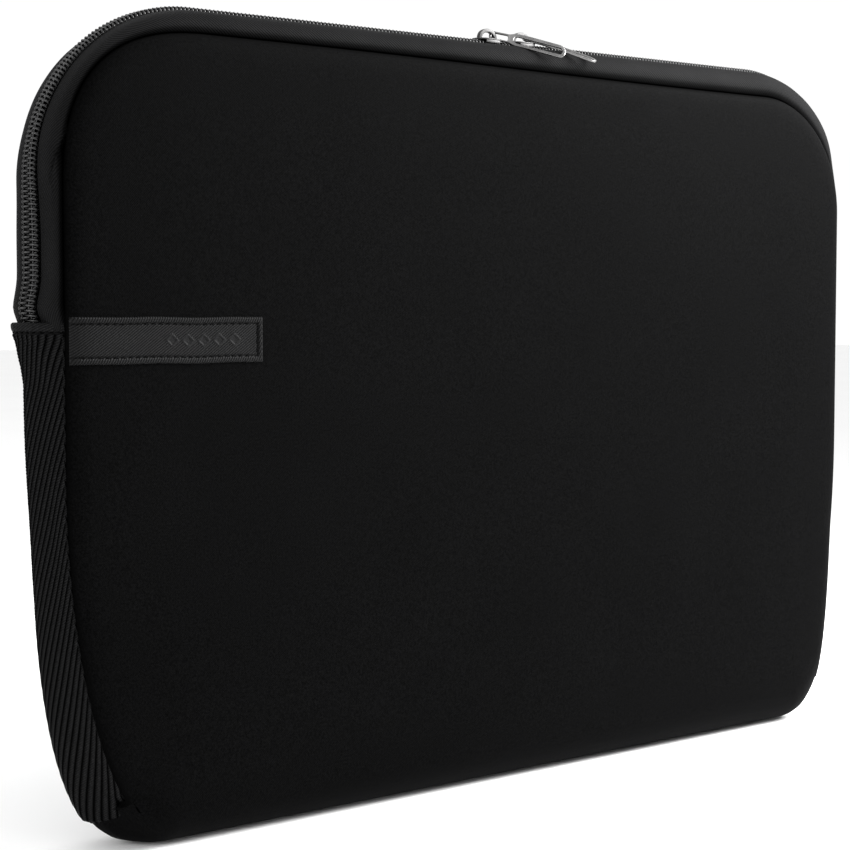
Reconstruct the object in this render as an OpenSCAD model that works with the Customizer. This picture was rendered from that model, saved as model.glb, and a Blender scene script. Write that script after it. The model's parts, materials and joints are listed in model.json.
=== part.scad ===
// Padded laptop sleeve standing on its bottom edge.
// X runs along the width, the front faces -Y, Z is up, and the origin is the
// middle of the bottom. A zip runs from one side, over the top, to the other.

/* [Sleeve] */
// Width over the zip chain
sleeve_w = 384; // [372:1:396]
// Height from the floor to the top of the zip chain
sleeve_h = 269; // [262:1:276]
// Half the thickness over the crowned panels
half_t = 16.5; // [16.5:0.1:18]
// Radius of the two top corners of the zip
top_r = 58; // [50:1:64]
// Height at which the rounded bottom corners begin
corner_z = 120; // [110:1:130]
// How far the bottom corners reach in from the sides
corner_x = 46; // [40:1:52]

/* [Zip and flap] */
// Height of the line where the upper front panel folds forward
fold_z = 170.5; // [168:0.5:176]
// Thickness of the coil chain, outwards
coil_t = 2.4; // [2:0.1:2.4]
// Half width of the two coils together
coil_half = 3; // [2.6:0.1:3]

/* [Sliders] */
// Centre of the left slider along the zip
left_slider_x = -4.4; // [-8:0.1:-4.4]
// Centre of the right slider along the zip
right_slider_x = 12; // [12:0.1:15]
// Length of a slider body
slider_l = 12.4; // [11:0.1:13]
// Length of a pull from its hinge to its tip
pull_l = 30; // [28:0.5:34]
// Width of a pull
pull_w = 5.4; // [5.2:0.1:5.6]
// Thickness of a pull
pull_t = 0.9; // [0.8:0.1:1]

/* [Gussets and label] */
// Height of the webbing gussets' hemmed top edges
hem_z = 168.2; // [164:0.1:168.2]
// Height at which the gussets end, above the bottom corners
gusset_z = 14; // [12:1:20]
// Length of the label along the front
label_l = 66.5; // [60:0.5:80]
// Height of the label
label_h = 14.6; // [12:0.1:15]

/* [Hidden] */

// A place across the sleeve's edge is [side, base, crown, y]: how far it lies in
// from the widest outline at the sides, at the bottom and at the top, and its y.
half_w = sleeve_w / 2;
top_cx = half_w - top_r;
top_cz = sleeve_h - top_r;
low_cx = half_w - corner_x;
arc_steps = 10;
split_gap = 0.1;

// Outer and inner surface of the front panel, from its seam to its middle.
panel_out = [
    [8.4, 3.4, 10.4, -12.2],
    [9.6, 4.6, 11.6, -14.2],
    [14, 9, 16, -15.5],
    [28, 24, 30, -16.2],
    [44, 40, 46, -half_t]
];
panel_in = [
    [11.6, 6.6, 13.6, -11],
    [15, 10, 17, -12],
    [28, 24, 30, -12.5],
    [44, 40, 46, -12.8]
];
lining_out = [
    [12.4, 7.4, 14.4, -10.9],
    [15.6, 10.6, 17.6, -11.8],
    [28, 24, 30, -12.3],
    [44, 40, 46, -12.6]
];
lining_in = [
    [13.4, 8.4, 15.4, -10.1],
    [16.2, 11.2, 18.2, -10.8],
    [28, 24, 30, -11.3],
    [44, 40, 46, -11.6]
];

// Sections of the bands that follow the edge. All but the bottom band, the side
// lining and the gussets are given for the front half.
strip_section = [
    [1.9, 0, 1.9, -4],
    [3.2, 0, 3.9, -8.2],
    [7.6, 0, 9.6, -12],
    [8.2, 0, 10.2, -10.8],
    [4.8, 0, 5.4, -7.4],
    [2.45, 0, 2.45, -4]
];
tape_section = [
    [2.5, 0, 2.5, -0.7],
    [2.5, 0, 2.5, -4],
    [4.9, 0, 5.5, -7.4],
    [7.6, 0, 9.4, -9.8],
    [8.1, 0, 9.9, -9.4],
    [5.4, 0, 6, -7.1],
    [3.1, 0, 3.1, -3.8],
    [3.1, 0, 3.1, -0.7]
];
coil_section = [
    [0.4, 0, 0.4, -0.65],
    [0, 0, 0, -1.2],
    [0, 0, 0, -coil_half + 0.6],
    [0.6, 0, 0.6, -coil_half],
    [coil_t, 0, coil_t, -coil_half],
    [coil_t, 0, coil_t, -0.65]
];
panel_foot_out = [[5, 0, 0, -9], [3.6, 0, 0, 0], [5, 0, 0, 9]];
panel_foot_in = [[9, 3.8, 0, -8], [7.4, 3.6, 0, 0], [9, 3.8, 0, 8]];
lining_foot_out = [[9.6, 4.2, 0, -7], [8.4, 4, 0, 0], [9.6, 4.2, 0, 7]];
lining_foot_in = [[10.7, 5.3, 0, -6.5], [9.4, 5, 0, 0], [10.7, 5.3, 0, 6.5]];
gusset_out = [[7.6, -11.8], [3.2, -8], [1.4, -4], [0.9, 0], [1.4, 4], [3.2, 8], [7.6, 11.8]];
gusset_web = 1.3;
hem_flare = 1.1;
hem_h = 6;

// Zip heights on the straight run over the top.
coil_top = sleeve_h;
plate_z = coil_top + 0.15;
plate_t = 0.6;
plate_top = plate_z + plate_t;
crown_r = 4.35;
crown_bar = 0.9;
crown_drop = 0.65;
crown_half_y = 0.3;
head_r = 0.44;
head_x = 1.7;
head_z = plate_top + 1.6;
neck_w = 3.7;
crank_x = 14;
crank = 9;
left_pull_turn = [30, 4, -21];
right_pull_turn = [20, 6, -17];

black = [0.09, 0.09, 0.1];
dark = [0.16, 0.16, 0.17];
grey = [0.3, 0.3, 0.31];
silver = [0.72, 0.72, 0.74];

// A point on the right top corner, for an angle from 0 at the side to 90 at the top.
function top_point(a, v) =
    [top_cx + (top_r - v[0]) * cos(a), v[3], top_cz + (top_r - v[2]) * sin(a)];
// A point on the right bottom corner, from 0 at the side to -90 at the bottom.
function low_point(a, v) =
    [low_cx + (corner_x - v[0]) * cos(a), v[3], corner_z + (corner_z - v[1]) * sin(a)];
function side_point(z, v) = [half_w - v[0], v[3], z];
function flip(p) = [-p[0], p[1], p[2]];
function flip_all(section) = [for (v = section) [v[0], v[1], v[2], -v[3]]];
function flip_y(section) = [for (i = [len(section) - 1:-1:0])
    [section[i][0], section[i][1], section[i][2], -section[i][3]]];
function reverse(list) = [for (i = [len(list) - 1:-1:0]) list[i]];
// Angle on the bottom corner at which the widest outline passes a height.
function low_angle(z) = asin((z - corner_z) / corner_z);

// Zip route: up the right side, over the top and down the left side.
function zip_route(v) = let (
    half = concat([side_point(fold_z + split_gap, v)],
                  [for (i = [0:arc_steps]) top_point(90 * i / arc_steps, v)])
) concat(half, [for (p = reverse(half)) flip(p)]);
// Side route, from the gusset's lower end to a height on the straight side.
function side_route(v, z_top) = concat(
    [for (i = [0:arc_steps]) low_point(low_angle(gusset_z) * (1 - i / arc_steps), v)],
    [side_point(z_top, v)]
);
// Right half of the whole outline, from the bottom up to the top, with stations
// where the gusset ends and where the front panel folds.
foot_steps = 3;
foot_angle = low_angle(gusset_z - 0.3);
fold_step = foot_steps + arc_steps + 1;
function half_outline(v) = concat(
    [for (i = [0:foot_steps - 1]) low_point(-90 + (90 + foot_angle) * i / foot_steps, v)],
    [for (i = [0:arc_steps]) low_point(foot_angle * (1 - i / arc_steps), v)],
    [side_point(fold_z - split_gap, v)],
    [for (i = [0:arc_steps]) top_point(90 * i / arc_steps, v)]
);
// Whole outline: down the left side, along the bottom and up the right side.
function outline(v) = let (half = half_outline(v)) concat([for (p = reverse(half)) flip(p)], half);

// Two triangles in place of a four-cornered face.
function split_quad(a, b, c, d) = [[a, b, c], [a, c, d]];

// Solid swept through a list of routes, one for each corner of its section.
module band(routes) {
    k = len(routes);
    n = len(routes[0]);
    points = [for (j = [0:n - 1]) for (i = [0:k - 1]) routes[i][j]];
    sides = [for (j = [0:n - 2]) for (i = [0:k - 1])
        each split_quad(j * k + i, (j + 1) * k + i, (j + 1) * k + (i + 1) % k, j * k + (i + 1) % k)];
    first = [for (i = [0:k - 1]) i];
    last = [for (i = [k - 1:-1:0]) (n - 1) * k + i];
    polyhedron(points, concat(sides, [first, last]), convexity = 6);
}

// Crowned sheet over the top, cut off level at the fold line. Its outer and
// inner surfaces are given from the edge to the middle.
module upper_sheet(outer, inner) {
    rings = [for (v = concat(reverse(outer), inner)) zip_route(v)];
    n = len(rings[0]);
    k = len(rings);
    faces = concat(
        [for (i = [0:k - 2]) each strip(i, i + 1, 0, n - 1, n)],
        [[for (j = [n - 1:-1:0]) j], [for (j = [0:n - 1]) (k - 1) * n + j]],
        [concat([for (i = [0:k - 1]) i * n], [for (i = [k - 1:-1:0]) i * n + n - 1])]
    );
    polyhedron([for (r = rings) for (p = r) p], faces, convexity = 6);
}
// Faces between two rings of n points, from one station on to another.
function strip(p, q, from, to, n) = [for (j = [from:1:to - 1])
    each split_quad(p * n + j % n, p * n + (j + 1) % n, q * n + (j + 1) % n, q * n + j % n)];

// Crowned back and front sheets joined along the bottom, the front one only up
// to the fold line. The foot is the part between the sheets, front to back, and
// it ends a number of steps up each side.
module folded_sheet(outer, inner, foot_out, foot_in, foot_end) {
    rings = [for (v = concat(
        reverse(outer), foot_out, flip_all(outer),
        flip_all(reverse(inner)), reverse(foot_in), inner)) outline(v)];
    n = len(rings[0]);
    a = len(outer);
    b = len(foot_out);
    c = len(inner);
    front_edge = a - 1;
    back_edge = a + b;
    back_middle = 2 * a + b - 1;
    back_in_edge = 2 * a + b + c - 1;
    front_in_edge = back_in_edge + b + 1;
    last = len(rings) - 1;
    mid = n / 2;
    f0 = mid - 1 - fold_step;
    f1 = mid + fold_step;
    b0 = mid - 1 - foot_end;
    b1 = mid + foot_end;
    faces = concat(
        [for (i = [0:front_edge - 1]) each strip(i, i + 1, f0, f1, n)],
        [for (i = [front_in_edge:last - 1]) each strip(i, i + 1, f0, f1, n)],
        [for (i = [back_edge:back_middle - 1]) each strip(i, i + 1, 0, n, n)],
        [for (i = [back_middle + 1:back_in_edge - 1]) each strip(i, i + 1, 0, n, n)],
        [for (i = [front_edge:back_edge - 1]) each strip(i, i + 1, b0, b1, n)],
        [for (i = [back_in_edge:front_in_edge - 1]) each strip(i, i + 1, b0, b1, n)],
        strip(front_edge, front_in_edge, f0, b0, n),
        strip(front_edge, front_in_edge, b1, f1, n),
        strip(back_in_edge, back_edge, b1, n + b0, n),
        [for (k = [0:b]) each split_quad(
            (front_edge + k) * n + b0, (front_edge + k + 1) * n + b0,
            (front_in_edge - k - 1) * n + b0, (front_in_edge - k) * n + b0)],
        [for (k = [0:b]) each split_quad(
            (front_edge + k + 1) * n + b1, (front_edge + k) * n + b1,
            (front_in_edge - k) * n + b1, (front_in_edge - k - 1) * n + b1)],
        [[for (j = [f1:-1:f0]) j], [for (j = [f0:f1]) last * n + j]],
        [[for (j = [0:n - 1]) back_middle * n + j],
         [for (j = [n - 1:-1:0]) (back_middle + 1) * n + j]],
        [concat(
            [for (i = [0:front_edge]) i * n + f0], [for (i = [front_in_edge:last]) i * n + f0],
            [for (i = [last:-1:front_in_edge]) i * n + f1], [for (i = [front_edge:-1:0]) i * n + f1])]
    );
    polyhedron([for (r = rings) for (p = r) p], faces, convexity = 6);
}

// Neoprene: back panel, bottom and lower front panel in one piece.
module wrap_panel() {
    color(black) folded_sheet(panel_out, panel_in, panel_foot_out, panel_foot_in, foot_steps);
}
module flap_panel() { color(black) upper_sheet(panel_out, panel_in); }

// Plush sheet inside the wrap, up to the fold line at the front.
module wrap_lining() {
    color(dark) folded_sheet(lining_out, lining_in, lining_foot_out, lining_foot_in, foot_steps);
}
module flap_lining() { color(dark) upper_sheet(lining_out, lining_in); }

module zip_band(section) {
    band([for (v = reverse(section)) zip_route(v)]);
}

module strip_front() { color(dark) zip_band(strip_section); }
module strip_back() { color(dark) zip_band(flip_y(strip_section)); }
module tape_front() { color(black) zip_band(tape_section); }
module tape_back() { color(black) zip_band(flip_y(tape_section)); }
module coil_front() { color(grey) zip_band(coil_section); }
module coil_back() { color(grey) zip_band(flip_y(coil_section)); }

// Metal stop across the end of both coils, just above the hem.
module stop() {
    stop_low = hem_z + 0.1;
    translate([half_w - 3.2, -coil_half, stop_low])
        cube([2, 2 * coil_half, fold_z - split_gap - stop_low]);
}
module stop_right() { color(silver) stop(); }
module stop_left() { color(silver) mirror([1, 0, 0]) stop(); }

// Webbing between the panels: a bulging strip with a folded hem at the top.
module gusset() {
    outer = [for (g = gusset_out) [g[0], g[0] - 4, 0, g[1]]];
    inner = [for (g = reverse(gusset_out)) [g[0] + gusset_web, g[0] - 4 + gusset_web, 0, g[1]]];
    flared = [for (g = gusset_out) [g[0] - hem_flare, 0, 0, g[1]]];
    tucked = [for (g = reverse(gusset_out)) [g[0] + gusset_web, 0, 0, g[1]]];
    web = concat(outer, inner);
    hem = concat(flared, tucked);
    band([for (i = [0:len(web) - 1])
        concat(side_route(web[i], hem_z - hem_h), [side_point(hem_z, hem[i])])]);
}
module gusset_right() { color(dark) gusset(); }
module gusset_left() { color(dark) mirror([1, 0, 0]) gusset(); }

// Row of stitches through the hem.
module hem_stitches() {
    row_z = hem_z - 2.9;
    spread = (row_z - hem_z + hem_h) / hem_h * hem_flare;
    reach = 0.8;
    for (y = [-8:2:8]) {
        proud = lookup(max(abs(y) - reach, 0), [for (g = gusset_out) [g[1], g[0]]]);
        translate([half_w - proud + spread + 0.1, y - reach, row_z]) cube([0.4, 1.6, 0.4]);
    }
}
module hem_stitch_right() { color(grey) hem_stitches(); }
module hem_stitch_left() { color(grey) mirror([1, 0, 0]) hem_stitches(); }

// Label: it follows the front panel from the side seam.
label_low = fold_z - split_gap - 0.6 - label_h;
label_t = 0.9;
function panel_y(side) = lookup(side, [for (v = panel_out) [v[0], v[3]]]);
label_sides = [9.6, 14, 28, 44, 9.6 + label_l];
module label() {
    back = [for (s = label_sides) [-half_w + s, panel_y(s) - 0.08]];
    face = [for (s = reverse(label_sides)) [-half_w + s, panel_y(s) - 0.08 - label_t]];
    color(grey) translate([0, 0, label_low]) linear_extrude(label_h) polygon(concat(back, face));
}
module label_stitch() {
    stitch_l = 1.8;
    color(dark)
    for (s = [16:3:76]) for (z = [label_low + 2, label_low + label_h - 2.3])
        translate([-half_w + s, panel_y(s) - label_t - 0.48, z]) cube([stitch_l, 0.3, 0.3]);
}

// Slider body, centred on its own middle along the zip.
module slider_body() {
    base_z = coil_top - coil_t - 0.6 - 0.2;
    side_y = coil_half + 0.15;
    outer_y = side_y + 0.55;
    flange_z = coil_top - coil_t + 0.3;
    color(silver) union() {
        translate([0, 0, plate_z]) linear_extrude(plate_t) slider_plan(outer_y);
        translate([0, 0, base_z - 0.8]) linear_extrude(0.8) slider_plan(outer_y);
        for (s = [-1, 1])
            translate([-slider_l / 2 + 2.8, s * (side_y + 0.25) - 0.25, flange_z])
                cube([slider_l - 5.6, 0.5, plate_z - flange_z + 0.1]);
        translate([-3, -0.45, base_z - 0.1]) cube([6, 0.9, plate_z - base_z + 0.2]);
    }
}
module slider_plan(half_y) {
    end_y = 1.5;
    end_x = slider_l / 2;
    wide_x = end_x - 2.4;
    polygon([
        [-end_x, -end_y], [-wide_x, -half_y], [wide_x, -half_y], [end_x, -end_y],
        [end_x, end_y], [wide_x, half_y], [-wide_x, half_y], [-end_x, end_y]
    ]);
}
// Arched crown over the slider's top plate.
module crown() {
    color(silver)
    translate([0, 0, plate_top - crown_drop])
        rotate([90, 0, 0])
            linear_extrude(2 * crown_half_y, center = true)
                intersection() {
                    difference() {
                        circle(r = crown_r, $fn = 64);
                        circle(r = crown_r - crown_bar, $fn = 64);
                    }
                    translate([-crown_r, crown_drop]) square([2 * crown_r, crown_r]);
                }
}
// Pull: a round hinge bar, a narrow eye, a cross bar and a long open loop,
// cranked down a little where the loop has passed the slider.
module pull() {
    half_t = pull_t / 2;
    miter = half_t * tan(crank / 2);
    end_x = pull_l * cos(crank);
    end_z = (crank_x - pull_l) * sin(crank);
    color(silver) union() {
        rotate([90, 0, 0]) cylinder(r = head_r, h = neck_w - 0.2, center = true, $fn = 32);
        intersection() {
            translate([0, 0, -pull_l / 2]) linear_extrude(pull_l) pull_plan();
            rotate([90, 0, 0]) linear_extrude(2 * pull_w, center = true) polygon([
                [0, -half_t], [crank_x - miter, -half_t], [end_x + 2, end_z - half_t - 2 * tan(crank)],
                [end_x + 2, end_z + half_t - 2 * tan(crank)], [crank_x + miter, half_t], [0, half_t]
            ]);
        }
    }
}
module pull_plan() {
    bar_w = 1.2;
    eye_w = 2.3;
    eye_end = 6.4;
    cross_w = 1.5;
    tip_r = pull_w / 2;
    loop_x = eye_end + cross_w + tip_r - bar_w;
    loop_l = pull_l - tip_r - loop_x;
    difference() {
        union() {
            translate([0, -neck_w / 2]) square([loop_x, neck_w]);
            translate([loop_x, 0]) circle(r = tip_r, $fn = 48);
            translate([loop_x, -tip_r]) square([loop_l, pull_w]);
            translate([loop_x + loop_l, 0]) circle(r = tip_r, $fn = 48);
        }
        translate([-1, -eye_w / 2]) square([eye_end + 1, eye_w]);
        translate([loop_x, 0]) circle(r = tip_r - bar_w, $fn = 40);
        translate([loop_x, bar_w - tip_r]) square([loop_l, pull_w - 2 * bar_w]);
        translate([loop_x + loop_l, 0]) circle(r = tip_r - bar_w, $fn = 40);
    }
}
module slider_left() { translate([left_slider_x, 0, 0]) slider_body(); }
module slider_right() { translate([right_slider_x, 0, 0]) slider_body(); }
module crown_left() { translate([left_slider_x, 0, 0]) crown(); }
module crown_right() { translate([right_slider_x, 0, 0]) crown(); }
module pull_left() {
    translate([left_slider_x + head_x, 0, head_z]) rotate(left_pull_turn) pull();
}
module pull_right() {
    translate([right_slider_x + head_x, 0, head_z]) rotate(right_pull_turn) pull();
}

wrap_panel();
wrap_lining();
flap_panel();
flap_lining();
strip_back();
strip_front();
tape_back();
tape_front();
coil_back();
coil_front();
stop_left();
stop_right();
gusset_left();
gusset_right();
hem_stitch_left();
hem_stitch_right();
label();
label_stitch();
slider_left();
slider_right();
crown_left();
crown_right();
pull_left();
pull_right();
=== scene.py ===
"""Padded laptop sleeve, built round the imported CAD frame.

Shapes are worked out in millimetres and turned into metres when a mesh is made.
Lights and the camera are placed in metres. The front faces -Y and Z is up.

The outline of the sleeve is a list of stations, each with a place in x and z and
the direction in which an inset moves it. Panels, strips, tapes and linings are
sections carried along those stations.
"""

import json
import math

import bmesh
import bpy
import numpy as np
from mathutils import Matrix, Vector, noise


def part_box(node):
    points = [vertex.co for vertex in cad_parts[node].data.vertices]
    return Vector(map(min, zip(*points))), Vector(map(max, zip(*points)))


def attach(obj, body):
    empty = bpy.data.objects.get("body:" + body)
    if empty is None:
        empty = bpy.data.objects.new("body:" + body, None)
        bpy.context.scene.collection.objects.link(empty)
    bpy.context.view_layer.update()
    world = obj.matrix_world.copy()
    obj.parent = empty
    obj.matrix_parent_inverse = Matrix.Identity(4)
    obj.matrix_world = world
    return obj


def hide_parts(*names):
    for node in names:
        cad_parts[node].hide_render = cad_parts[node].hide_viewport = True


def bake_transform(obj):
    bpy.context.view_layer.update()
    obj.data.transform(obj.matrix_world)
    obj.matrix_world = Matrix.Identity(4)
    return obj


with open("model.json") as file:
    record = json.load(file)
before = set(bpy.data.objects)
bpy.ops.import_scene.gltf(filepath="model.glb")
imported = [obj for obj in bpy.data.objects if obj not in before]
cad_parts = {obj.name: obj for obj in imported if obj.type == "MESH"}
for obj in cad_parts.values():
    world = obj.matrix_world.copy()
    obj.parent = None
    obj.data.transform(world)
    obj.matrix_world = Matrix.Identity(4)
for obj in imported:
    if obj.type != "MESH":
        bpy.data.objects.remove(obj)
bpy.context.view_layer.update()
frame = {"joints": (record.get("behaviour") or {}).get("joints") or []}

MM = 0.001
# The zip's outline: half its width, its top, and the top edge of the webbing.
HALF_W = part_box("coil_back")[1].x / MM
TOP_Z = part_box("coil_back")[1].z / MM
HEM_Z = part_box("gusset_left")[1].z / MM
# Its corners: round at the top, a quarter ellipse LOW_X by LOW_Z at the bottom.
TOP_R = 58.0
LOW_Z = 120.0
LOW_X = 46.0
TOP_CX = HALF_W - TOP_R
TOP_CZ = TOP_Z - TOP_R
LOW_CX = HALF_W - LOW_X


# ---- helpers
def smooth(t):
    """A soft step from 0 to 1."""
    t = np.clip(t, 0, 1)
    return t * t * (3 - 2 * t)


def add_mesh(name, points, faces, uv=None, values=None, sharp=80):
    """A mesh object from points in millimetres. values holds named numbers for each point,
    and sharp is the angle, in degrees, from which an edge is drawn sharp."""
    mesh = bpy.data.meshes.new(name)
    points = np.asarray(points, float).reshape(-1, 3) * MM
    mesh.from_pydata(points.tolist(), [], [list(map(int, f)) for f in faces])
    if uv is not None:
        layer = mesh.uv_layers.new(name="UVMap")
        corner = np.zeros(len(mesh.loops), int)
        mesh.loops.foreach_get("vertex_index", corner)
        layer.data.foreach_set("uv", np.asarray(uv, float)[corner].ravel())
    for key, value in (values or {}).items():
        attribute = mesh.attributes.new(key, "FLOAT", "POINT")
        attribute.data.foreach_set("value", np.asarray(value, np.float32))
    work = bmesh.new()
    work.from_mesh(mesh)
    bmesh.ops.recalc_face_normals(work, faces=work.faces[:])
    work.to_mesh(mesh)
    work.free()
    mesh.shade_smooth()
    mesh.set_sharp_from_angle(angle=math.radians(sharp))
    mesh.update()
    obj = bpy.data.objects.new(name, mesh)
    bpy.context.scene.collection.objects.link(obj)
    return obj


def sweep_faces(n, k):
    """Faces of a closed section of k points carried along n stations, ends closed."""
    faces = []
    for j in range(n - 1):
        a = j * k
        b = a + k
        for i in range(k):
            i2 = (i + 1) % k
            faces.append((a + i, b + i, b + i2, a + i2))
    faces.append(tuple(range(k)))
    faces.append(tuple((n - 1) * k + i for i in reversed(range(k))))
    return faces


def finish_piece(obj, material, body, node=None):
    """Gives a piece its material, hides the CAD node it stands in for and parents it to its body's
    empty.
    A piece without a body has its transform baked into its mesh."""
    obj.data.materials.append(material)
    if node:
        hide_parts(node)
    if body is None:
        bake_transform(obj)
    else:
        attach(obj, body)


def finish_pair(front, back, material, front_node=None, back_node=None):
    """A front piece, left without a body, and its twin at the back of the sleeve, on the sleeve's
    body.
    """
    finish_piece(front, material, None, front_node)
    finish_piece(back, material, "sleeve", back_node)


# ---- materials
class Nodes:
    """Short calls for building one material's node tree."""

    def __init__(self, name):
        self.material = bpy.data.materials.new(name)
        self.material.use_nodes = True
        self.tree = self.material.node_tree
        self.tree.nodes.clear()
        self.shader = self.tree.nodes.new("ShaderNodeBsdfPrincipled")
        out = self.tree.nodes.new("ShaderNodeOutputMaterial")
        self.tree.links.new(self.shader.outputs[0], out.inputs[0])

    def node(self, kind, inputs=None, **settings):
        node = self.tree.nodes.new("ShaderNode" + kind)
        for key, value in settings.items():
            setattr(node, key, value)
        for key, value in (inputs or {}).items():
            self.put(node.inputs[key], value)
        return node

    def put(self, socket, value):
        if isinstance(value, bpy.types.NodeSocket):
            self.tree.links.new(value, socket)
        else:
            socket.default_value = value

    def math(self, operation, a, b=0.0):
        node = self.node("Math", operation=operation)
        self.put(node.inputs[0], a)
        self.put(node.inputs[1], b)
        return node.outputs[0]

    def times(self, a, b):
        return self.math("MULTIPLY", a, b)

    def plus(self, a, b):
        return self.math("ADD", a, b)

    def place(self):
        return self.node("TexCoord").outputs["Object"]

    def uv(self):
        return self.node("UVMap", uv_map="UVMap").outputs[0]

    def value(self, name):
        return self.node("Attribute", attribute_name=name).outputs["Fac"]

    def noise(self, where, scale, detail=3.0, rough=0.55):
        made = self.node(
            "TexNoise", {"Vector": where, "Scale": scale, "Detail": detail, "Roughness": rough}
        )
        return made.outputs["Fac"]

    def ramp(self, value, low, high, out_low=0.0, out_high=1.0):
        made = self.node("MapRange", {
            "Value": value, "From Min": low, "From Max": high,
            "To Min": out_low, "To Max": out_high,
        })
        return made.outputs[0]

    def spread(self, value, low, high):
        """A noise, stretched between two levels."""
        return self.ramp(value, 0.3, 0.7, low, high)

    def grey(self, level, tint=(1.0, 1.0, 1.03)):
        """A grey colour whose brightness is a number or a socket."""
        made = self.node("CombineColor")
        for socket, t in zip(made.inputs, tint):
            self.put(socket, self.times(level, t))
        return made.outputs[0]

    def bump(self, height, strength, distance):
        inputs = {"Height": height, "Strength": strength, "Distance": distance}
        return self.node("Bump", inputs).outputs[0]

    def set(self, **inputs):
        for key, value in inputs.items():
            self.put(self.shader.inputs[key.replace("_", " ")], value)
        return self.material


def knit_material(name, level, rough, sheen):
    """Fine jersey face of neoprene: a tight grid of loops with a soft nap. 'lit' is 0
    down in the seam, where no light gets in, and 1 on open cloth."""
    n = Nodes(name)
    where = n.place()
    parts = n.node("SeparateXYZ", {"Vector": where})
    # Radians per metre: the loops are 0.66 mm apart sideways and 0.8 mm upwards.
    loops = n.times(n.math("SINE", n.times(parts.outputs[0], 9500)),
                    n.math("SINE", n.times(parts.outputs[2], 7800)))
    fuzz = n.noise(where, 1500, 4)
    broad = n.noise(where, 22, 3)
    shade = n.times(n.spread(fuzz, 0.4, 1.6), n.spread(broad, 0.88, 1.12))
    lit = n.value("lit")
    shade = n.times(shade, n.ramp(lit, 0, 1, 0.12, 1))
    height = n.plus(n.times(loops, 0.3), fuzz)
    return n.set(
        Base_Color=n.grey(n.times(shade, level)),
        Roughness=n.spread(broad, rough - 0.04, rough + 0.04),
        Specular_IOR_Level=0.008,
        Sheen_Weight=n.ramp(lit, 0, 1, 0.0, sheen),
        Sheen_Roughness=0.4,
        Sheen_Tint=(0.8, 0.8, 0.83, 1),
        Normal=n.bump(height, 0.55, 0.0001),
    )


def twill_material(name, level, rough, sheen, pitch, depth=0.5, seam=False):
    """Fine diagonal twill, laid out on the piece's own length and width in millimetres.
    With seam, the piece's own 'lit' paints shade down in the seam: a darker colour with no gloss
    or sheen."""
    angle = math.radians(38)
    n = Nodes(name)
    uv = n.node("SeparateXYZ", {"Vector": n.uv()})
    where = n.place()
    across = math.cos(angle) * 2 * math.pi / pitch
    along = math.sin(angle) * 2 * math.pi / pitch
    phase = n.plus(n.times(uv.outputs[0], across), n.times(uv.outputs[1], along))
    phase = n.plus(phase, n.times(n.noise(where, 500, 2), 2.2))
    cord = n.math("SINE", phase)
    fuzz = n.noise(where, 1700, 3)
    broad = n.noise(where, 60, 3)
    shade = n.times(n.ramp(cord, -1, 1, 1 - depth * 0.5, 1 + depth * 0.5),
                    n.spread(fuzz, 0.85, 1.15))
    shade = n.times(shade, n.spread(broad, 0.88, 1.12))
    lit = n.value("lit") if seam else 1.0
    shade = n.times(shade, n.ramp(lit, 0, 1, 0.1, 1))
    return n.set(
        Base_Color=n.grey(n.times(shade, level)),
        Roughness=rough,
        Specular_IOR_Level=n.ramp(lit, 0, 1, 0.0, 0.02),
        Sheen_Weight=n.ramp(lit, 0, 1, 0.0, sheen),
        Sheen_Roughness=0.4,
        Sheen_Tint=(0.85, 0.85, 0.88, 1),
        Normal=n.bump(n.plus(cord, fuzz), 0.5, 0.00012),
    )


def cord_material(name, level, rough, sheen, yarn):
    """Heavy yarn: the ribs are in the mesh, and 'rise' says how far up one a point is, lowered
    further where shade falls.
    Where 'rise' is low, the colour, gloss and sheen are taken down: painted shade.
    """
    n = Nodes(name)
    uv = n.node("SeparateXYZ", {"Vector": n.uv()})
    where = n.place()
    rise = n.value("rise")
    twist = n.plus(n.times(uv.outputs[1], 2 * math.pi / yarn), n.times(uv.outputs[0], 4.3))
    twist = n.math("SINE", twist)
    fuzz = n.noise(where, 1300, 4)
    ridge = n.ramp(rise, 0.25, 0.9)
    shade = n.times(n.ramp(ridge, 0, 1, 0.03, 1.1), n.spread(fuzz, 0.6, 1.4))
    shade = n.times(shade, n.ramp(twist, -1, 1, 0.4, 1.4))
    return n.set(
        Base_Color=n.grey(n.times(shade, level)),
        Roughness=rough,
        Specular_IOR_Level=n.ramp(ridge, 0, 1, 0.0, 0.03),
        Sheen_Weight=n.ramp(ridge, 0, 1, 0.0, sheen),
        Sheen_Roughness=0.45,
        Sheen_Tint=(0.85, 0.85, 0.88, 1),
        Normal=n.bump(n.plus(n.times(twist, 0.6), fuzz), 0.6, 0.00018),
    )


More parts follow.
